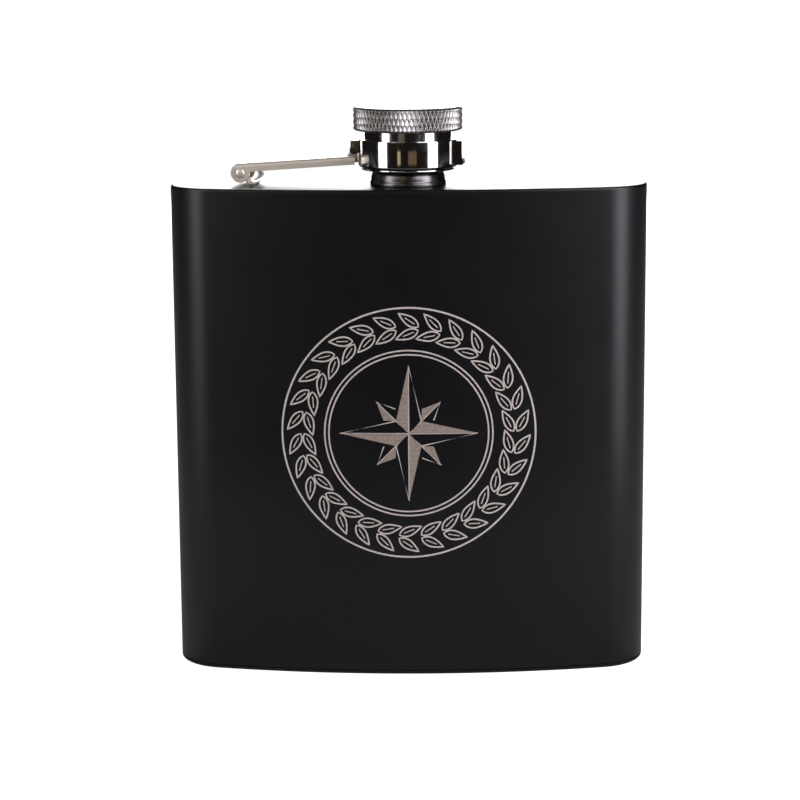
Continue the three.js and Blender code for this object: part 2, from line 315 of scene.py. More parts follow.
# Neck: turned from stainless bar and left dark satin, welded into the plate, its shoulder rounded over.
# Above the shoulder a thinner spigot carries the screw thread.
def turned(profile, steps=160):
    """A closed mesh of a profile of (radius, height) points turned about the mouth's axis."""
    bm = bmesh.new()
    rings = []
    for radius, height in profile:
        if radius < 1e-7:
            rings.append([bm.verts.new((mouth_x, mouth_y, plate_top + height))])
            continue
        turns = [2 * math.pi * i / steps for i in range(steps)]
        rings.append([
            bm.verts.new((mouth_x + radius * math.cos(t), mouth_y + radius * math.sin(t), plate_top + height))
            for t in turns
        ])
    poles = len(rings[0]) == 1
    pairs = list(zip(rings, rings[1:])) + ([] if poles else [(rings[-1], rings[0])])
    for low, high in pairs:
        for i in range(steps):
            j = (i + 1) % steps
            corners = [low[i % len(low)], low[j % len(low)], high[j % len(high)], high[i % len(high)]]
            unique = list(dict.fromkeys(corners))
            if len(unique) > 2:
                bm.faces.new(unique)
    return bm


def turned_steel(name, colour, roughness, groove=0.35, rings=False):
    """Stainless steel from the lathe: fine tool marks round the axis, faint smears, uneven gloss."""
    material, nodes, principled, place = shader(name, colour, roughness, 1.0)
    centred = nodes.add("ShaderNodeMapping", {"Vector": place, "Location": (-mouth_x, -mouth_y, 0)})
    axis = {"rings_direction": "Z"} if rings else {"bands_direction": "Z"}
    marks = nodes.add("ShaderNodeTexWave", {
        "Vector": centred.outputs["Vector"], "Scale": 2200, "Distortion": 1.2,
        "Detail": 2, "Detail Scale": 1.5,
    }, wave_type="RINGS" if rings else "BANDS", **axis)
    smears = nodes.add("ShaderNodeTexNoise", {"Vector": place, "Scale": 260, "Detail": 5, "Roughness": 0.65})
    gloss = nodes.add("ShaderNodeMapRange", {
        "Value": smears.outputs["Fac"], "From Min": 0.3, "From Max": 0.7,
        "To Min": roughness * 0.75, "To Max": roughness * 1.35,
    })
    bump = nodes.add("ShaderNodeBump", {
        "Height": marks.outputs["Fac"], "Strength": groove, "Distance": 0.004 * mm,
    })
    nodes.tree.links.new(gloss.outputs["Result"], principled.inputs["Roughness"])
    nodes.tree.links.new(bump.outputs["Normal"], principled.inputs["Normal"])
    return material


def geometry_tree(name, inputs):
    """An empty Geometry Nodes tree with named number inputs: its nodes, input node and output node."""
    tree = bpy.data.node_groups.new(name, "GeometryNodeTree")
    tree.interface.new_socket("Geometry", in_out="INPUT", socket_type="NodeSocketGeometry")
    for label, value in inputs.items():
        kind = "NodeSocketInt" if isinstance(value, int) else "NodeSocketFloat"
        tree.interface.new_socket(label, in_out="INPUT", socket_type=kind).default_value = value
    tree.interface.new_socket("Geometry", in_out="OUTPUT", socket_type="NodeSocketGeometry")
    nodes = Nodes(tree)
    return nodes, nodes.add("NodeGroupInput"), nodes.add("NodeGroupOutput")


def finish_tree(nodes, output, geometry, material):
    """Ends a tree in Realize Instances and Set Material."""
    real = nodes.add("GeometryNodeRealizeInstances", {"Geometry": geometry})
    coated = nodes.add("GeometryNodeSetMaterial", {"Geometry": real.outputs[0]})
    coated.inputs["Material"].default_value = material
    nodes.tree.links.new(coated.outputs[0], output.inputs[0])


def grown(mesh, nodes, values):
    """The plain mesh that a Geometry Nodes tree makes from a mesh."""
    holder = bpy.data.objects.new("holder", mesh)
    bpy.context.scene.collection.objects.link(holder)
    modifier = holder.modifiers.new("grown", "NODES")
    modifier.node_group = nodes.tree
    sockets = {s.name: s.identifier for s in nodes.tree.interface.items_tree if s.in_out == "INPUT"}
    for label, value in values.items():
        modifier[sockets[label]] = value
    evaluated = holder.evaluated_get(bpy.context.evaluated_depsgraph_get())
    made = bpy.data.meshes.new_from_object(evaluated)
    holder.modifiers.clear()
    bpy.data.objects.remove(holder)
    return made


def screw_thread(material):
    """Sweeps a ridge along a helix: Root and Crest are radii, Start and Length lie along the axis."""
    inputs = {"Root": 5.75 * mm, "Crest": 6.1 * mm, "Pitch": 1.5 * mm, "Start": 0.0, "Length": 5 * mm}
    nodes, given, output = geometry_tree("screw_thread", inputs)
    size = given.outputs
    turns = nodes.math("DIVIDE", size["Length"], size["Pitch"])
    spiral = nodes.add("GeometryNodeCurveSpiral", {
        "Resolution": 72, "Rotations": turns, "Start Radius": size["Root"],
        "End Radius": size["Root"], "Height": size["Length"],
    })
    upright = nodes.add("GeometryNodeSetCurveNormal", {"Curve": spiral.outputs[0]}, mode="Z_UP")
    depth = nodes.math("SUBTRACT", size["Crest"], size["Root"])
    ridge = nodes.add("GeometryNodeCurvePrimitiveCircle", {"Resolution": 3, "Radius": 1.0}, mode="RADIUS")
    reach = nodes.math("ABSOLUTE", depth)
    wide = nodes.math("MULTIPLY", reach, 1.15)
    scale = nodes.add("ShaderNodeCombineXYZ", {0: wide, 1: wide, 2: 1.0})
    section = nodes.add("GeometryNodeTransform", {"Geometry": ridge.outputs[0], "Scale": scale.outputs[0]})
    sweep = nodes.add("GeometryNodeCurveToMesh", {
        "Curve": upright.outputs[0], "Profile Curve": section.outputs[0], "Fill Caps": True,
    })
    lift = nodes.add("ShaderNodeCombineXYZ", {0: 0.0, 1: 0.0, 2: size["Start"]})
    placed = nodes.add("GeometryNodeTransform", {
        "Geometry": sweep.outputs[0], "Translation": lift.outputs[0],
    })
    both = nodes.add("GeometryNodeJoinGeometry")
    nodes.tree.links.new(given.outputs["Geometry"], both.inputs[0])
    centred = nodes.add("GeometryNodeTransform", {
        "Geometry": placed.outputs[0], "Translation": (mouth_x, mouth_y, plate_top),
    })
    nodes.tree.links.new(centred.outputs[0], both.inputs[0])
    finish_tree(nodes, output, both.outputs[0], material)
    return nodes


def plain_mesh(name, bm):
    """A mesh from a bmesh, its normals facing out."""
    bmesh.ops.remove_doubles(bm, verts=bm.verts, dist=0.00002 * mm)
    bmesh.ops.recalc_face_normals(bm, faces=bm.faces)
    mesh = bpy.data.meshes.new(name)
    bm.to_mesh(mesh)
    bm.free()
    return mesh


neck_radius = 7.1 * mm
neck_bore = 5 * mm
spigot = 5.75 * mm
shoulder = 2.85 * mm
spigot_top = mouth_high.z - plate_top
thread_pitch = 1.5 * mm
neck_steel = turned_steel("neck_steel", (0.16, 0.15, 0.15), 0.26)
neck_profile = softened([
    (plate_hole - 0.1 * mm, mouth_low.z - plate_top),
    (plate_hole - 0.1 * mm, 0.05 * mm),
    (neck_radius + 0.2 * mm, 0.05 * mm),
    (neck_radius + 0.2 * mm, 0.7 * mm),
    (neck_radius, mm),
    (neck_radius, shoulder - 1.5 * mm),
    (neck_radius - 0.05 * mm, shoulder - 1.1 * mm),
    (neck_radius - 0.14 * mm, shoulder - 0.7 * mm),
    (neck_radius - 0.3 * mm, shoulder - 0.3 * mm),
    (neck_radius - 0.6 * mm, shoulder),
    (spigot, shoulder),
    (spigot, spigot_top - 0.3 * mm),
    (spigot - 0.25 * mm, spigot_top),
    (neck_bore + 0.2 * mm, spigot_top),
    (neck_bore, spigot_top - 0.2 * mm),
    (neck_bore, mouth_low.z - plate_top),
], 0.16 * mm)
threads = screw_thread(neck_steel)
neck = piece("neck_turned", grown(plain_mesh("neck_turned", turned(neck_profile)), threads, {
    "Root": spigot,
    "Crest": spigot + 0.35 * mm,
    "Pitch": thread_pitch,
    "Start": shoulder + 1.4 * mm,
    "Length": spigot_top - shoulder - 2.6 * mm,
}), neck_steel)
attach(neck, "flask")
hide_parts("neck")


# Screw cap: a turned head with a diamond knurl rolled into its rim, pressed onto a threaded sleeve.
# The sleeve's foot is flared after the collar is on, and a white disc seals on the neck.
head_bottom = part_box("cap_head")[0].z - plate_top
head_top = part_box("cap_head")[1].z - plate_top
head_radius = (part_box("cap_head")[1].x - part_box("cap_head")[0].x) / 2
seal_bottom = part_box("cap_seal")[0].z - plate_top
seal_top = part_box("cap_seal")[1].z - plate_top
sleeve_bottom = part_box("cap_barrel")[0].z - plate_top
sleeve_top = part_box("cap_barrel")[1].z - plate_top
sleeve_radius = 8.35 * mm
press_radius = 8 * mm
sleeve_bore = 7.5 * mm
cap_crest = 7.1 * mm
knurl_teeth = 76
knurl_rows = 1.6
knurl_depth = 0.27 * mm


def diamond_knurl(material):
    """Presses pyramids into a rim: two families of slanting grooves cross between Low and High."""
    inputs = {"Radius": 10 * mm, "Low": 0.0, "High": 4 * mm, "Teeth": 60.0, "Rows": 2.0, "Depth": 0.3 * mm}
    nodes, given, output = geometry_tree("diamond_knurl", inputs)
    size = given.outputs
    place = nodes.add("GeometryNodeInputPosition").outputs[0]
    mouth = (mouth_x, mouth_y, plate_top)
    centred = nodes.add("ShaderNodeVectorMath", {0: place, 1: mouth}, operation="SUBTRACT")
    split = nodes.add("ShaderNodeSeparateXYZ", {0: centred.outputs[0]}).outputs
    turn = nodes.math("DIVIDE", nodes.math("ARCTAN2", split[1], split[0]), 2 * math.pi)
    across = nodes.math("MULTIPLY", turn, size["Teeth"])
    height = nodes.math("DIVIDE", nodes.math("SUBTRACT", split[2], size["Low"]),
                        nodes.math("SUBTRACT", size["High"], size["Low"]))
    up = nodes.math("MULTIPLY", height, size["Rows"])
    left = nodes.math("PINGPONG", nodes.math("ADD", across, up), 0.5)
    right = nodes.math("PINGPONG", nodes.math("SUBTRACT", across, up), 0.5)
    groove = nodes.math("MINIMUM", left, right)
    fall = nodes.math("MULTIPLY", nodes.math("SUBTRACT", 0.5, groove), 2.0)
    sunk = nodes.math("MULTIPLY", fall, size["Depth"])
    middle = nodes.math("ABSOLUTE", nodes.math("SUBTRACT", height, 0.5))
    inside = nodes.math("LESS_THAN", middle, 0.4999)
    flat = nodes.add("ShaderNodeCombineXYZ", {0: split[0], 1: split[1], 2: 0.0})
    spread = nodes.add("ShaderNodeVectorMath", {0: flat.outputs[0]}, operation="LENGTH")
    just_inside = nodes.math("SUBTRACT", size["Radius"], 0.01 * mm)
    at_rim = nodes.math("GREATER_THAN", spread.outputs["Value"], just_inside)
    amount = nodes.math("MULTIPLY", nodes.math("MULTIPLY", inside, at_rim), sunk)
    away = nodes.add("ShaderNodeVectorMath", {0: flat.outputs[0]}, operation="NORMALIZE")
    back = nodes.add("ShaderNodeVectorMath", {
        0: away.outputs[0], "Scale": nodes.math("MULTIPLY", amount, -1.0),
    }, operation="SCALE")
    moved = nodes.add("GeometryNodeSetPosition", {"Geometry": size["Geometry"], "Offset": back.outputs[0]})
    finish_tree(nodes, output, moved.outputs[0], material)
    return nodes


bevel = 0.28 * mm
rim_low = head_bottom + bevel
rim_high = head_top - bevel
rim_steps = 28
rim = [(head_radius, rim_low + (rim_high - rim_low) * i / rim_steps) for i in range(rim_steps + 1)]
head_profile = [
    (0, seal_top + 0.1 * mm),
    (cap_crest - 0.15 * mm, seal_top + 0.1 * mm),
    (cap_crest - 0.15 * mm, sleeve_top + 0.1 * mm),
    (press_radius + 0.1 * mm, sleeve_top + 0.1 * mm),
    (press_radius + 0.1 * mm, head_bottom),
    (sleeve_radius + 0.3 * mm, head_bottom),
    (head_radius - bevel - 0.14 * mm, head_bottom),
    (head_radius - bevel, head_bottom + 0.02 * mm),
    *rim,
    (head_radius - bevel, head_top - 0.03 * mm),
    (head_radius - bevel - 0.2 * mm, head_top),
    (0, head_top),
]
cap_steel = turned_steel("cap_steel", (0.42, 0.395, 0.38), 0.34, rings=True)
knurl = diamond_knurl(cap_steel)
head = piece("cap_knob", grown(plain_mesh("cap_knob", turned(head_profile, 8 * knurl_teeth)), knurl, {
    "Radius": head_radius,
    "Low": rim_low,
    "High": rim_high,
    "Teeth": float(knurl_teeth),
    "Rows": knurl_rows,
    "Depth": knurl_depth,
}), cap_steel, sharp=24)
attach(head, "cap")
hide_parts("cap_head")

sleeve_steel = turned_steel("sleeve_steel", (0.52, 0.50, 0.49), 0.12)
lip_radius = 8.9 * mm
sleeve_profile = softened([
    (lip_radius - 0.1 * mm, sleeve_bottom),
    (lip_radius, sleeve_bottom + 0.14 * mm),
    (lip_radius - 0.05 * mm, sleeve_bottom + 0.4 * mm),
    (sleeve_radius, sleeve_bottom + 0.4 * mm),
    (sleeve_radius, head_bottom - 0.1 * mm),
    (press_radius, head_bottom - 0.1 * mm),
    (press_radius, sleeve_top),
    (cap_crest, sleeve_top),
    (cap_crest, spigot_top),
    (sleeve_bore, spigot_top - 0.3 * mm),
    (sleeve_bore, sleeve_bottom + 1.6 * mm),
    (cap_crest + 0.1 * mm, sleeve_bottom + 1.25 * mm),
    (sleeve_bore + 0.1 * mm, sleeve_bottom + 0.8 * mm),
    (sleeve_bore + 0.6 * mm, sleeve_bottom + 0.4 * mm),
], 0.1 * mm)
sleeve = piece("cap_sleeve", grown(plain_mesh("cap_sleeve", turned(sleeve_profile)), threads, {
    "Root": sleeve_bore,
    "Crest": sleeve_bore - 0.3 * mm,
    "Pitch": thread_pitch,
    "Start": sleeve_bottom + 2.2 * mm,
    "Length": spigot_top - sleeve_bottom - 3.3 * mm,
}), sleeve_steel)
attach(sleeve, "cap")
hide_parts("cap_barrel")


def seal_plastic():
    """White polyethylene sheet, faintly mottled."""
    material, nodes, principled, place = shader("seal_plastic", (0.80, 0.78, 0.74), 0.5, 0.0)
    mottle = nodes.add("ShaderNodeTexNoise", {"Vector": place, "Scale": 900, "Detail": 3})
    tone = nodes.add("ShaderNodeValToRGB", {"Fac": mottle.outputs["Fac"]})
    tone.color_ramp.elements[0].color = (0.74, 0.72, 0.67, 1)
    tone.color_ramp.elements[1].color = (0.84, 0.82, 0.79, 1)
    nodes.tree.links.new(tone.outputs["Color"], principled.inputs["Base Color"])
    return material


seal_radius = cap_crest - 0.15 * mm
seal_profile = [
    (0, seal_bottom + 0.1 * mm),
    (neck_bore - 0.5 * mm, seal_bottom + 0.1 * mm),
    (neck_bore - 0.3 * mm, seal_bottom),
    (seal_radius - 0.1 * mm, seal_bottom),
    (seal_radius, seal_bottom + 0.1 * mm),
    (seal_radius, seal_top - 0.1 * mm),
    (seal_radius - 0.1 * mm, seal_top),
    (0, seal_top),
]
seal = piece("seal_disc", turned(seal_profile), seal_plastic())
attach(seal, "cap")
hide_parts("cap_seal")


# Collar: a bright ring that turns on the sleeve, with a tab on one side and a slotted ear on the other.
# The pin through the ear holds the arm's eye.
mouth_turn = math.asin(32.2 * mm / 2 / (front_radius - thickness / 2))
mouth_frame = Matrix.Translation((mouth_x, mouth_y, plate_top)) @ Matrix.Rotation(-mouth_turn, 4, "Z")


def slab(points, y0, y1, where=mouth_frame):
    """An outline of (x, z) points run across the hinge from y0 to y1."""
    bm = bmesh.new()
    ends = [[bm.verts.new((x, y, z)) for x, z in points] for y in (y0, y1)]
    bm.faces.new(ends[0])
    bm.faces.new(ends[1][::-1])
    rings_to_mesh(bm, ends[::-1])
    bmesh.ops.transform(bm, matrix=where, verts=bm.verts)
    return bm


def disc(x, z, radius, steps=64):
    """The outline of a circle in the hinge's plane."""
    return arc(x, z, radius, 0, 360, steps)[:-1]


def rectangle(x0, x1, z0, z1):
    return [(x0, z0), (x1, z0), (x1, z1), (x0, z1)]


def carved(name, base, steps):
    """Joins solids to a base, or cuts them from it, in order; each step is (operation, bmesh)."""
    def hold(bm):
        found = bpy.data.objects.new("tool", plain_mesh("tool", bm))
        bpy.context.scene.collection.objects.link(found)
        return found

    holder = hold(base)
    tools = []
    for operation, bm in steps:
        tool = hold(bm)
        tools.append(tool)
        modifier = holder.modifiers.new("cut", "BOOLEAN")
        modifier.operation = operation
        modifier.solver = "MANIFOLD"
        modifier.object = tool
    evaluated = holder.evaluated_get(bpy.context.evaluated_depsgraph_get())
    mesh = bpy.data.meshes.new_from_object(evaluated)
    for used in [holder, *tools]:
        bpy.data.objects.remove(used)
    mesh.name = name
    return mesh


def edged(mesh, width, angle=35, segments=3):
    """The mesh with its sharp edges eased by a bevel."""
    holder = bpy.data.objects.new("holder", mesh)
    bpy.context.scene.collection.objects.link(holder)
    modifier = holder.modifiers.new("ease", "BEVEL")
    modifier.width = width
    modifier.segments = segments
    modifier.limit_method = "ANGLE"
    modifier.angle_limit = math.radians(angle)
    modifier.harden_normals = False
    evaluated = holder.evaluated_get(bpy.context.evaluated_depsgraph_get())
    made = bpy.data.meshes.new_from_object(evaluated)
    bpy.data.objects.remove(holder)
    return made


collar_radius = 9.5 * mm
collar_bore = sleeve_radius + 0.2 * mm
collar_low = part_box("collar_ring")[0].z - plate_top
collar_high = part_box("collar_ring")[1].z - plate_top
ear_reach = 10.7 * mm
ear_half = 2.9 * mm
ear_top = 8.6 * mm
tab_bottom = 4 * mm
hinge_ear_bottom = 6.35 * mm
collar_pin = (-10.1 * mm, 6.7 * mm)
slot_half = 2.05 * mm
eye_room = 1.1 * mm


def bright_steel():
    """Buffed stainless steel: nearly a mirror, with hairline buffing marks and faint smears."""
    material, nodes, principled, place = shader("bright_steel", (0.64, 0.625, 0.61), 0.07, 1.0)
    smears = nodes.add("ShaderNodeTexNoise", {"Vector": place, "Scale": 320, "Detail": 6, "Roughness": 0.7})
    gloss = nodes.add("ShaderNodeMapRange", {
        "Value": smears.outputs["Fac"], "From Min": 0.3, "From Max": 0.7, "To Min": 0.05, "To Max": 0.12,
    })
    stretched = nodes.add("ShaderNodeMapping", {"Vector": place, "Scale": (1, 1, 14)})
    hairs = nodes.add("ShaderNodeTexNoise", {"Vector": stretched.outputs[0], "Scale": 900, "Detail": 3})
    bump = nodes.add("ShaderNodeBump", {
        "Height": hairs.outputs["Fac"], "Strength": 0.12, "Distance": 0.004 * mm,
    })
    nodes.tree.links.new(gloss.outputs["Result"], principled.inputs["Roughness"])
    nodes.tree.links.new(bump.outputs["Normal"], principled.inputs["Normal"])
    return material


ring_profile = softened([
    (collar_bore, collar_low),
    (collar_radius - 0.35 * mm, collar_low),
    (collar_radius, collar_low + 0.35 * mm),
    (collar_radius, collar_high),
    (collar_bore, collar_high),
], 0.12 * mm)
collar_steel = bright_steel()
inner = collar_bore + 0.2 * mm
ring = carved("collar", turned(ring_profile, 192), [
    ("UNION", slab(rectangle(inner, ear_reach, tab_bottom, ear_top), -ear_half, ear_half)),
    ("UNION", slab(rectangle(-ear_reach, -inner, hinge_ear_bottom, ear_top), -ear_half, ear_half)),
    ("UNION", slab(disc(*collar_pin, 0.75 * mm), -ear_half, ear_half)),
    ("DIFFERENCE", slab(disc(*collar_pin, eye_room), -slot_half, slot_half)),
    ("DIFFERENCE", slab(
        rectangle(-ear_reach - mm, collar_pin[0], collar_pin[1] - eye_room, collar_pin[1] + eye_room),
        -slot_half, slot_half,
    )),
])
collar = piece("collar", edged(ring, 0.1 * mm, 50), collar_steel)
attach(collar, "collar")
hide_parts("collar_ring")

collar_rod = piece("collar_rod", slab(disc(*collar_pin, 0.45 * mm, 40), -ear_half, ear_half), collar_steel)
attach(collar_rod, "collar")
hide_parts("collar_pin")


# Hinge: a strip rolled round a rivet and welded to the top plate, and a folded channel arm whose end
# hoods the roll. Both are pressed from thin bright stainless sheet, which looks warm against the black.
bracket_pin = (-32.2 * mm, 2.25 * mm)
bracket_sheet = 0.4 * mm
bracket_half = 2.3 * mm
roll_radius = 1.0 * mm


def ribbon(line, sheet):
    """The outline of a bent sheet along a line of points."""
    sides = []
    for i, point in enumerate(line):
        before = Vector(line[max(i - 1, 0)])
        after = Vector(line[min(i + 1, len(line) - 1)])
        along = (after - before).normalized()
        half = Vector((-along.y, along.x)) * (sheet / 2)
        sides.append((Vector(point) + half, Vector(point) - half))
    return [tuple(a) for a, _ in sides] + [tuple(b) for _, b in reversed(sides)]


def pressed_steel():
    """Thin stainless sheet, bright-rolled: a soft warm shine with long rolling marks and light scuffs."""
    material, nodes, principled, place = shader("pressed_steel", (0.97, 0.89, 0.76), 0.38, 0.6)
    stretched = nodes.add("ShaderNodeMapping", {"Vector": place, "Scale": (1, 18, 18)})
    marks = nodes.add("ShaderNodeTexNoise", {"Vector": stretched.outputs[0], "Scale": 260, "Detail": 4})
    smears = nodes.add("ShaderNodeTexNoise", {"Vector": place, "Scale": 480, "Detail": 4, "Roughness": 0.6})
    gloss = nodes.add("ShaderNodeMapRange", {
        "Value": smears.outputs["Fac"], "From Min": 0.3, "From Max": 0.7, "To Min": 0.3, "To Max": 0.46,
    })
    bump = nodes.add("ShaderNodeBump", {
        "Height": marks.outputs["Fac"], "Strength": 0.25, "Distance": 0.006 * mm,
    })
    nodes.tree.links.new(gloss.outputs["Result"], principled.inputs["Roughness"])
    nodes.tree.links.new(bump.outputs["Normal"], principled.inputs["Normal"])
    return material


hinge_steel = pressed_steel()
px, pz = bracket_pin
foot_height = 0.05 * mm + bracket_sheet / 2
bracket_line = (
    arc(px + 2.4 * mm, pz - 0.15 * mm, 1.2 * mm, -80, 60, 20)
    + [(px + 1.3 * mm, pz + 0.8 * roll_radius)]
    + arc(px, pz, roll_radius, 75, 270, 40)
    + arc(px + 0.75 * mm, pz - roll_radius - 0.45 * mm, 0.45 * mm, 80, 0, 8)
    + arc(px + 1.5 * mm, foot_height + 0.3 * mm, 0.3 * mm, 180, 270, 8)
    + [(px + 2.9 * mm, foot_height)]
)
bracket = piece("bracket", edged(plain_mesh("bracket", slab(
    ribbon(bracket_line, bracket_sheet), -bracket_half, bracket_half,
)), 0.05 * mm, 60, 2), hinge_steel)
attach(bracket, "flask")
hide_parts("hinge_bracket")

rivet_half = 3.0 * mm
rivet_radius = 0.7 * mm
rivet_head = 0.9 * mm
rivet_dome = 0.35 * mm


def rivet():
    """A rivet along Y about the origin: a plain shank and two domed heads."""
    bm = bmesh.new()
    steps = 48
    dome = [(rivet_head * math.cos(t), rivet_half + rivet_dome * math.sin(t))
            for t in [math.radians(a) for a in range(0, 90, 15)]]
    half = [(rivet_radius, 0.0), (rivet_radius, rivet_half - 0.02 * mm),
            (rivet_head, rivet_half - 0.02 * mm), *dome]
    profile = [(r, -y) for r, y in reversed(half[1:])] + half
    rings = [
        [bm.verts.new((r * math.cos(2 * math.pi * i / steps), y, r * math.sin(2 * math.pi * i / steps)))
         for i in range(steps)]
        for r, y in profile
    ]
    rings_to_mesh(bm, rings)
    bm.faces.new(rings[0])
    bm.faces.new(rings[-1])
    bmesh.ops.transform(bm, matrix=mouth_frame @ Matrix.Translation((px, 0, pz)), verts=bm.verts)
    return bm


hinge_rivet = piece("hinge_rivet", rivet(), hinge_steel)
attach(hinge_rivet, "flask")
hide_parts("bracket_pin")

arm_half = 2.9 * mm
arm_sheet = 0.45 * mm
arm_height = 1.7 * mm
hood_radius = 1.85 * mm
arm_span = px * -1 + collar_pin[0]
arm_rise = collar_pin[1] - 0.75 * mm - 0.28 * mm - pz - hood_radius
arm_tilt = math.atan(arm_rise / arm_span)
arm_frame = mouth_frame @ Matrix.Translation((px, 0, pz)) @ Matrix.Rotation(-arm_tilt, 4, "Y")


def rounded_bar(length, low, high, half, bend):
    """A bar along x with its two upper long edges rounded."""
    section = (
        [(-half, low), (half, low)]
        + arc(half - bend, high - bend, bend, 0, 90, 8)
        + arc(-half + bend, high - bend, bend, 90, 180, 8)
    )
    bm = bmesh.new()
    ends = [[bm.verts.new((x, y, z)) for y, z in section] for x in (-length, length)]
    bm.faces.new(ends[0][::-1])
    bm.faces.new(ends[1])
    rings_to_mesh(bm, ends)
    bmesh.ops.transform(bm, matrix=arm_frame, verts=bm.verts)
    return bm


def arm_slab(points, half):
    return slab(points, -half, half, arm_frame)


end = arm_span + 0.2 * mm
inside = arm_half - arm_sheet
away = Vector((arm_span, collar_pin[1] - pz))
eye_x = away.x * math.cos(arm_tilt) + away.y * math.sin(arm_tilt)
eye_z = away.y * math.cos(arm_tilt) - away.x * math.sin(arm_tilt)
under = hood_radius - arm_height
tongue_line = [
    (eye_x - 2.6 * mm, hood_radius - 0.25 * mm),
    (eye_x - 1.9 * mm, hood_radius - 0.25 * mm),
    (eye_x - 1.5 * mm, hood_radius - 0.18 * mm),
    (eye_x - 1.15 * mm, hood_radius + 0.05 * mm),
    (eye_x - 0.85 * mm, (hood_radius + eye_z) / 2 - 0.1 * mm),
    (eye_x - 0.65 * mm, eye_z - 0.25 * mm),
    (eye_x - 0.45 * mm, eye_z),
]
side = [
    (0, -hood_radius),
    *arc(0, 0, hood_radius, -90, -6, 16),
    (1.95 * mm, under),
    (end, under),
    (end, hood_radius),
    *arc(0, 0, hood_radius, 90, 270, 36),
]
arm_mesh = carved("arm", arm_slab(side[:-1], arm_half), [
    ("INTERSECT", rounded_bar(40 * mm, -3 * mm, hood_radius, arm_half, 0.75 * mm)),
    ("DIFFERENCE", arm_slab(rectangle(0, end + mm, -3 * mm, hood_radius - arm_sheet), inside)),
    ("DIFFERENCE", arm_slab(disc(0, 0, hood_radius - arm_sheet), inside)),
    ("DIFFERENCE", arm_slab([(0, 0), *arc(0, 0, 2 * hood_radius, 175, 290, 12)], inside)),
    ("DIFFERENCE", arm_slab(rectangle(eye_x - 1.35 * mm, end + mm, 0, 3 * mm), inside)),
    ("DIFFERENCE", arm_slab(disc(0, 0, rivet_radius + 0.1 * mm), arm_half + mm)),
    ("UNION", arm_slab(disc(eye_x, eye_z, 0.95 * mm), 1.9 * mm)),
    ("UNION", arm_slab(ribbon(tongue_line, 0.5 * mm), 1.9 * mm)),
    ("DIFFERENCE", arm_slab(disc(eye_x, eye_z, 0.55 * mm), 2.5 * mm)),
])
arm = piece("arm", edged(arm_mesh, 0.06 * mm, 50, 2), hinge_steel)
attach(arm, "arm")
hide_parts("hinge_arm")


# Engraving: a laser burns the coat off the front down to bare steel, leaving fine raster lines.
# The ornament is a ring of leaves about a compass rose, drawn in thin lines with a few filled facets.
emblem_height = 48 * mm
emblem_radius = 24.5 * mm
leaf_circle = 20.4 * mm
leaf_count = 30
leaf_length = 4.6 * mm
leaf_width = 1.75 * mm
leaf_lean = 28
vein = (0.9 * mm, 3.1 * mm)
inner_rings = (16.1 * mm, 15.3 * mm)
rose_reach = 13.2 * mm
short_point = 0.66
line_width = 0.3 * mm
bite = 0.012 * mm


def engraved_steel(name, dark, light):
    """Bare steel that a laser has scanned: matte and warm, with fine level lines and specks."""
    material, nodes, principled, place = shader(name, light, 0.5, 0.35)
    lines = nodes.add("ShaderNodeTexWave", {"Vector": place, "Scale": 1300, "Distortion": 0.8},
                      wave_type="BANDS", bands_direction="Z")
    specks = nodes.add("ShaderNodeTexNoise", {"Vector": place, "Scale": 2600, "Detail": 3, "Roughness": 0.7})
    both = nodes.math("ADD", nodes.math("MULTIPLY", lines.outputs["Fac"], 0.4), specks.outputs["Fac"])
    tone = nodes.add("ShaderNodeValToRGB", {"Fac": nodes.math("MULTIPLY", both, 0.72)})
    tone.color_ramp.elements[0].position = 0.3
    tone.color_ramp.elements[0].color = (*dark, 1)
    tone.color_ramp.elements[1].position = 0.7
    tone.color_ramp.elements[1].color = (*light, 1)
    bump = nodes.add("ShaderNodeBump", {"Height": both, "Strength": 0.3, "Distance": 0.01 * mm})
    nodes.tree.links.new(tone.outputs["Color"], principled.inputs["Base Color"])
    nodes.tree.links.new(bump.outputs["Normal"], principled.inputs["Normal"])
    return material


def stroke(line, width=line_width, closed=False):
    """A line of constant width as four-cornered faces; points are flat, x to the right and y up."""
    count = len(line)
    sides = []
    for i in range(count):
        before = Vector(line[(i - 1) % count] if closed else line[max(i - 1, 0)])
        after = Vector(line[(i + 1) % count] if closed else line[min(i + 1, count - 1)])
        along = (after - before).normalized()
        half = Vector((-along.y, along.x)) * (width / 2)
        sides.append((Vector(line[i]) + half, Vector(line[i]) - half))
    pairs = list(zip(sides, sides[1:])) + ([(sides[-1], sides[0])] if closed else [])
    return [[a[1], b[1], b[0], a[0]] for a, b in pairs]


def leaf(length, width, steps=12):
    """A pointed leaf along +x from the origin: its two edges as one closed line."""
    along = [i / steps for i in range(steps + 1)]
    rise = [(length * t, width / 2 * math.sin(math.pi * t ** 0.75)) for t in along]
    return rise + [(x, -y) for x, y in reversed(rise[1:-1])]


def turned_flat(faces, angle, x=0.0, y=0.0):
    """Flat faces turned by an angle in degrees, then moved."""
    c, s = math.cos(math.radians(angle)), math.sin(math.radians(angle))
    return [[(x + p[0] * c - p[1] * s, y + p[0] * s + p[1] * c) for p in face] for face in faces]


def flat_mesh(name, faces):
    """A flat mesh from lists of corners, with nearly touching corners joined."""
    bm = bmesh.new()
    for corners in faces:
        bm.faces.new([bm.verts.new((p[0], p[1], 0)) for p in corners])
    bmesh.ops.remove_doubles(bm, verts=bm.verts, dist=0.002 * mm)
    mesh = bpy.data.meshes.new(name)
    bm.to_mesh(mesh)
    bm.free()
    return mesh


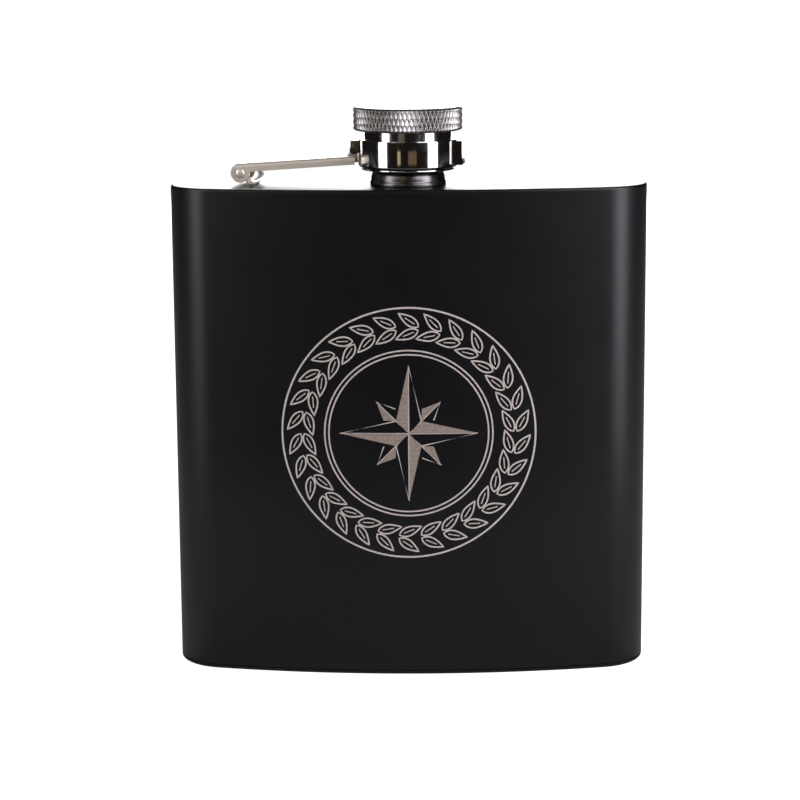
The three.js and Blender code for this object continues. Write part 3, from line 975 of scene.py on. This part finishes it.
def leaf_ring(material):
    """Sets copies of a sprig round a circle: Count of them at Radius."""
    nodes, given, output = geometry_tree("leaf_ring", {"Radius": 20 * mm, "Count": 24})
    circle = nodes.add("GeometryNodeMeshCircle", {
        "Vertices": given.outputs["Count"], "Radius": given.outputs["Radius"],
    })
    place = nodes.add("GeometryNodeInputPosition").outputs[0]
    split = nodes.add("ShaderNodeSeparateXYZ", {0: place}).outputs
    turn = nodes.add("ShaderNodeCombineXYZ", {2: nodes.math("ARCTAN2", split[1], split[0])})
    copies = nodes.add("GeometryNodeInstanceOnPoints", {
        "Points": circle.outputs[0], "Instance": given.outputs["Geometry"], "Rotation": turn.outputs[0],
    })
    finish_tree(nodes, output, copies.outputs[0], material)
    return nodes


def engraved(name, mesh, material):
    """A flat mesh laid on the bulging front: bitten through the coat, its face just proud of it."""
    bm = bmesh.new()
    bm.from_mesh(mesh)
    x = -emblem_radius
    while x < emblem_radius:
        everything = bm.verts[:] + bm.edges[:] + bm.faces[:]
        bmesh.ops.bisect_plane(bm, geom=everything, dist=1e-8, plane_co=(x, 0, 0), plane_no=(1, 0, 0))
        x += 1.4 * mm
    deep = bmesh.ops.extrude_face_region(bm, geom=bm.faces[:])["geom"]
    inner = {v for v in deep if isinstance(v, bmesh.types.BMVert)}
    for v in bm.verts:
        radius = front_radius - coat + (-0.03 * mm if v in inner else bite)
        across, height = v.co.x, v.co.y + emblem_height
        v.co = (across, curve_centre - math.sqrt(radius ** 2 - across ** 2), height)
    found = piece(name, bm, material)
    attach(found, "flask")
    return found


pale_engraving = engraved_steel("pale_engraving", (0.60, 0.53, 0.475), (0.95, 0.86, 0.80))
deep_engraving = engraved_steel("deep_engraving", (0.28, 0.22, 0.18), (0.56, 0.465, 0.39))

sprig_faces = []
for side in (1, -1):
    lean = 90 - side * leaf_lean
    edge = stroke(leaf(leaf_length, leaf_width), closed=True)
    midrib = stroke([(vein[0], 0), (vein[1], 0)], 0.2 * mm)
    sprig_faces += turned_flat(edge + midrib, lean, side * 0.35 * mm, 0.2 * mm)
sprig = flat_mesh("sprig", sprig_faces)
leaves = grown(sprig, leaf_ring(pale_engraving), {"Radius": leaf_circle, "Count": leaf_count})
engraved("engraved_leaves", leaves, pale_engraving)

rings = []
for radius, width in [(emblem_radius - 0.2 * mm, 0.35 * mm), *((inner, line_width) for inner in inner_rings)]:
    rings += stroke(arc(0, 0, radius, 0, 360, 120)[:-1], width, closed=True)
engraved("engraved_rings", flat_mesh("engraved_rings", rings), pale_engraving)

facets, outlines = [], []
waist = 0.26 * rose_reach
for turn in range(8):
    reach = rose_reach if turn % 2 == 0 else short_point * rose_reach
    start = 0.0 if turn % 2 == 0 else waist
    side = (waist * math.cos(math.radians(45)), waist * math.sin(math.radians(45)))
    if turn % 2 == 0:
        facets += turned_flat([[(0, 0), (reach, 0), side]], turn * 45)
        outlines += turned_flat(
            stroke([(0, 0), (reach, 0), (side[0], -side[1])], 0.26 * mm, closed=True), turn * 45)
    else:
        spread = math.radians(17)
        foot = (0.41 * rose_reach * math.cos(spread), 0.41 * rose_reach * math.sin(spread))
        facets += turned_flat([[(start, 0), (reach, 0), foot]], turn * 45)
        outlines += turned_flat(
            stroke([(start, 0), (reach, 0), (foot[0], -foot[1])], 0.26 * mm), turn * 45)
engraved("engraved_facets", flat_mesh("engraved_facets", facets), deep_engraving)
engraved("engraved_outlines", flat_mesh("engraved_outlines", outlines), pale_engraving)


# Floor and light: a white sheet that ends in front, a bright wall behind, and soft lights on each side.
# Two high broad lights shape the body, and two upright strips give the bright bands on it and the collar.
# Two small warm cards in front put gold and brown between those bands.
floor_mesh = bpy.data.meshes.new("floor")
floor_mesh.from_pydata([(-2, -0.13, 0), (2, -0.13, 0), (2, 2, 0), (-2, 2, 0)], [], [(0, 1, 2, 3)])
floor = bpy.data.objects.new("floor", floor_mesh)
bpy.context.scene.collection.objects.link(floor)
floor_paint, floor_nodes, floor_shader = shader("floor_paint", (0.5, 0.5, 0.5), 0.9, 0.0)[:3]
floor_shader.inputs["Emission Color"].default_value = (1, 1, 1, 1)
floor_seen = floor_nodes.add("ShaderNodeLightPath").outputs["Is Camera Ray"]
floor_nodes.tree.links.new(floor_seen, floor_shader.inputs["Emission Strength"])
floor_mesh.materials.append(floor_paint)


def soft_light(name, azimuth, distance, width, height, centre, radiance, colour=(1, 1, 1), aim=0.06):
    """A rectangular soft light standing round the flask, facing it; azimuth 0 is at the front."""
    light = bpy.data.lights.new(name, "AREA")
    light.shape = "RECTANGLE"
    light.size = width
    light.size_y = height
    light.energy = radiance * math.pi * width * height
    light.color = colour
    held = bpy.data.objects.new(name, light)
    bpy.context.scene.collection.objects.link(held)
    held.visible_camera = False
    turn = math.radians(azimuth)
    spot = Vector((math.sin(turn) * distance, -math.cos(turn) * distance, centre))
    facing = (Vector((0, 0, aim)) - spot).normalized()
    held.matrix_world = Matrix.Translation(spot) @ facing.to_track_quat("-Z", "Y").to_matrix().to_4x4()
    return held


cool = (0.94, 0.93, 1.0)
soft_light("left_strip", -59, 0.40, 0.15, 0.42, 0.235, 3.7, cool, aim=0.235)
soft_light("right_strip", 60, 0.40, 0.17, 0.42, 0.215, 5.4, cool, aim=0.215)
soft_light("left_soft", -36, 0.65, 0.18, 0.40, 0.42, 1.2, cool)
soft_light("right_soft", 37, 0.65, 0.28, 0.40, 0.40, 4.4, cool)
soft_light("back_wall", 180, 0.9, 0.40, 0.9, 0.47, 5.8, aim=0.47)
soft_light("gold_card", -19.5, 0.45, 0.055, 0.06, 0.062, 0.55, (1, 0.78, 0.44), aim=0.062)
soft_light("brown_card", 11, 0.45, 0.15, 0.06, 0.062, 0.16, (1, 0.66, 0.40), aim=0.062)
soft_light("warm_fill", -16, 0.52, 0.16, 0.26, 0.27, 0.4, (1, 0.88, 0.70), aim=0.1)

world = bpy.data.worlds.new("studio")
bpy.context.scene.world = world
world.use_nodes = True
room = Nodes(world.node_tree)
seen = room.add("ShaderNodeLightPath").outputs["Is Camera Ray"]
pick = room.add("ShaderNodeMix", {"Factor": seen}, data_type="RGBA")
pick.inputs[6].default_value = (0.012, 0.010, 0.009, 1)
pick.inputs[7].default_value = (1, 1, 1, 1)
room.tree.links.new(pick.outputs[2], world.node_tree.nodes["Background"].inputs["Color"])
bpy.context.scene.view_settings.view_transform = "Standard"
